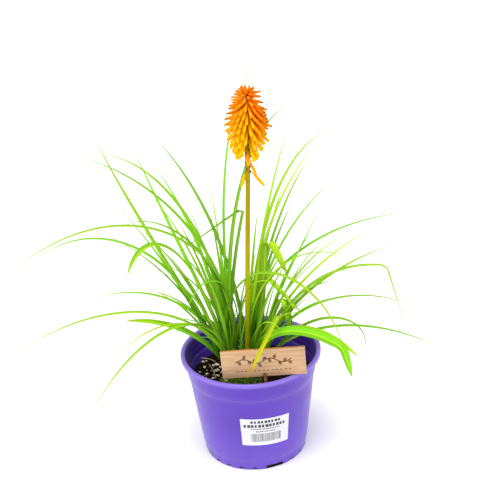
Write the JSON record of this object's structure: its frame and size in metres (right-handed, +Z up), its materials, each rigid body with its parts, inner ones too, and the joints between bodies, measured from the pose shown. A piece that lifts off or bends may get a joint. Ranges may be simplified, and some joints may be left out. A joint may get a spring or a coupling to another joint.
{
  "type": "potted red hot poker",
  "caption": "Red hot poker plant with one orange flower spike and arching keeled leaves, in a round tapered nursery pot with rolled rim, blank wooden name board on a stake, and wall sticker.",
  "frame": {"origin": "centre of the pot's underside, on the ground", "axes": "+Z up, +X to the right in the front view, -Y towards the front, where the sticker and the name board are"},
  "size_m": [0.4554, 0.4731, 0.4679],
  "materials": {
    "pot_plastic": "satin violet polypropylene",
    "potting_soil": "rough damp peat with perlite grains",
    "leaf_green": "smooth waxy leaf",
    "stalk_olive": "smooth fleshy stem",
    "floret_orange": "soft satin petals",
    "pale_wood": "bare sanded plywood",
    "stake_wood": "plywood edge browned by laser cutting",
    "sticker_paper": "smooth coated label paper"
  },
  "bodies": {
    "root": {"pot": "pot_plastic", "soil": "potting_soil", "shoot_right": "leaf_green", "shoot_back_right": "leaf_green", "shoot_back_left": "leaf_green", "shoot_left": "leaf_green", "shoot_front_left": "leaf_green", "shoot_front_right": "leaf_green", "flower_stalk": "stalk_olive", "flower_head": "floret_orange", "name_board": "pale_wood", "board_stake": "stake_wood", "sticker": "sticker_paper"}
  },
  "joints": []
}
